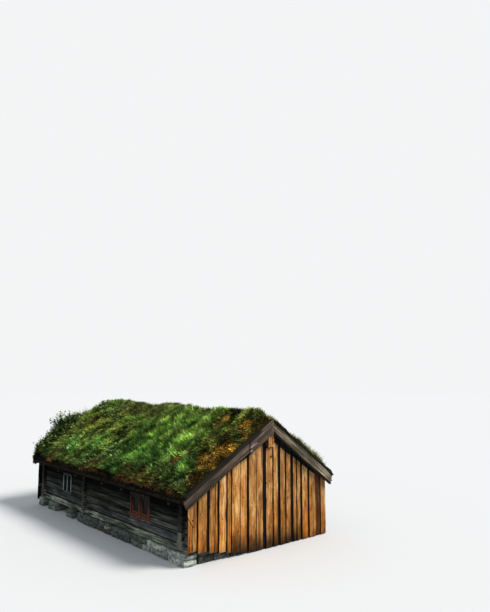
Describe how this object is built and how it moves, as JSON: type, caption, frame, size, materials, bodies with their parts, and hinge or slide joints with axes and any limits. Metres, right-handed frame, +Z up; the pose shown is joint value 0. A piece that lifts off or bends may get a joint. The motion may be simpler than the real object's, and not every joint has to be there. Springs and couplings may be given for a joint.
{
  "type": "turf house",
  "caption": "Low log house with a sod roof: notched log walls on dry stone, gables clad with upright boards, verge boards, small windows and a purlin roof.",
  "frame": {"origin": "on the lowest ground, under the middle of the house's overall box", "axes": "+X to the right as seen from the front gable, +Y along the ridge from the front gable to the back gable, +Z up"},
  "size_m": [5.354, 9.992, 3.7005],
  "materials": {
    "stone": "dry stone, rough, with lichen",
    "weathered_log": "hewn pine logs, weathered grey-brown to black",
    "sill_log": "hewn sill logs, weathered pale grey",
    "inner_wood": "sawn and hewn wood, dry and brown",
    "purlin_end": "hewn log, warm orange-brown at its end",
    "gable_board": "rough upright boards, golden brown with dark dirt",
    "verge_wood": "rough boards, weathered dark grey",
    "cap_wood": "rough boards, weathered pale grey",
    "bark": "layers of birch bark",
    "sod": "living sod with grass and moss, lumpy",
    "red_paint": "old red paint on wood",
    "blue_paint": "old pale blue-green paint on wood",
    "glass": "old window glass, dark inside",
    "door_wood": "rough planks, weathered brown"
  },
  "bodies": {
    "root": {"foundation_left": "stone", "foundation_right": "stone", "foundation_front": "stone", "foundation_back": "stone", "floor_sleepers": "weathered_log", "floor_planks": "inner_wood", "sill_left": "sill_log", "sill_right": "sill_log", "sill_front": "sill_log", "sill_back": "sill_log", "log_wall_left": "weathered_log", "log_wall_right": "weathered_log", "log_wall_front": "weathered_log", "log_wall_back": "weathered_log", "log_wall_cross": "weathered_log", "window_near_frame": "red_paint", "window_near_sashes": "red_paint", "window_far_frame": "blue_paint", "window_glass": "glass", "door_frame": "door_wood", "door_leaf": "door_wood", "ridge_purlin": "purlin_end", "purlin_left": "inner_wood", "purlin_right": "inner_wood", "rafters_left": "inner_wood", "rafters_right": "inner_wood", "roof_boards_left": "inner_wood", "roof_boards_right": "inner_wood", "bark_left": "bark", "bark_right": "bark", "turf_left": "sod", "turf_right": "sod", "eave_log_left": "weathered_log", "eave_log_right": "weathered_log", "cladding_rails_front": "inner_wood", "cladding_rails_back": "inner_wood", "cladding_front": "gable_board", "cladding_back": "gable_board", "verge_board_front_left": "verge_wood", "verge_board_front_over": "verge_wood", "verge_board_front_right": "cap_wood", "verge_board_back_left": "verge_wood", "verge_board_back_right": "verge_wood", "cap_boards_front": "cap_wood", "cap_boards_back": "cap_wood"}
  },
  "joints": []
}
